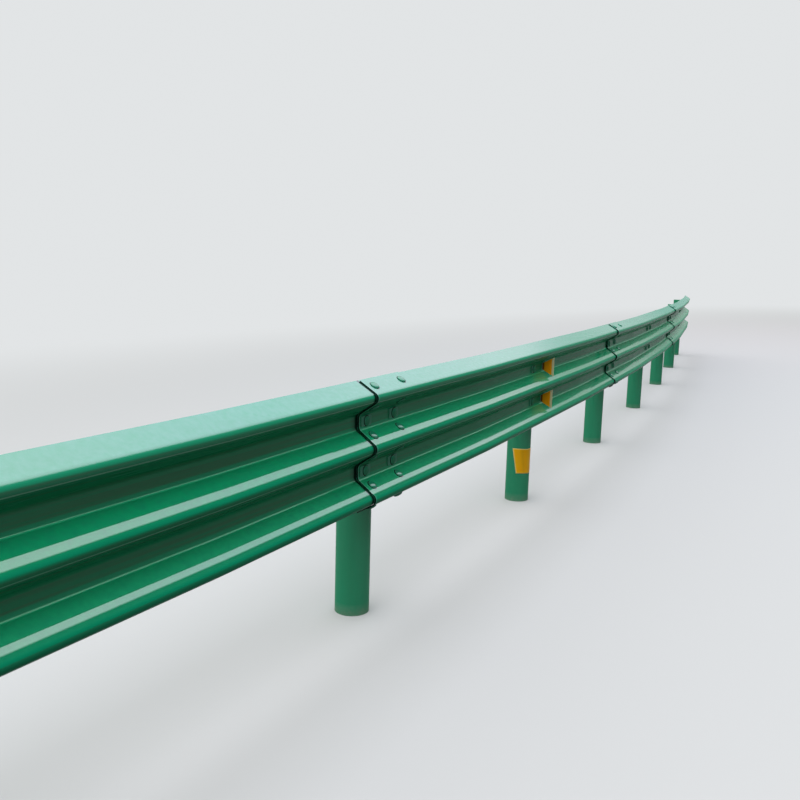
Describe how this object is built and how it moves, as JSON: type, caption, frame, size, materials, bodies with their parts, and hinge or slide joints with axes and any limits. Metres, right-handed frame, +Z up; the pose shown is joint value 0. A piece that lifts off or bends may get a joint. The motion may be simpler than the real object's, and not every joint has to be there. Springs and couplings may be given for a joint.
{
  "type": "highway guardrail section",
  "caption": "Curved run of green three-wave steel guardrail on capped round posts, with lapped rolled beams, arched brackets and yellow valley reflectors.",
  "frame": {"origin": "on the cut end of the first post's tube at ground level, in the middle of its wall on the side next to the road", "axes": "+X along the row away from the first post, +Y away from the road, +Z up; the row bends towards +Y"},
  "size_m": [16.211, 1.8207, 0.968],
  "materials": {
    "beam_coat": "glossy green plastic powder coat on galvanized rolled steel",
    "post_coat": "green plastic powder coat on galvanized steel tube",
    "bracket_coat": "green plastic powder coat on bent steel plate",
    "reflective_yellow": "yellow reflective sheeting on bent steel sheet"
  },
  "bodies": {
    "root": {"beam_section_1": "beam_coat", "beam_section_2": "beam_coat", "beam_section_3": "beam_coat", "beam_section_4": "beam_coat", "post_1": "post_coat", "post_2": "post_coat", "post_3": "post_coat", "post_4": "post_coat", "post_5": "post_coat", "post_6": "post_coat", "post_7": "post_coat", "post_8": "post_coat", "post_9": "post_coat", "brackets_1": "bracket_coat", "brackets_2": "bracket_coat", "brackets_3": "bracket_coat", "brackets_4": "bracket_coat", "brackets_5": "bracket_coat", "brackets_6": "bracket_coat", "brackets_7": "bracket_coat", "brackets_8": "bracket_coat", "brackets_9": "bracket_coat", "delineators": "reflective_yellow"}
  },
  "joints": []
}
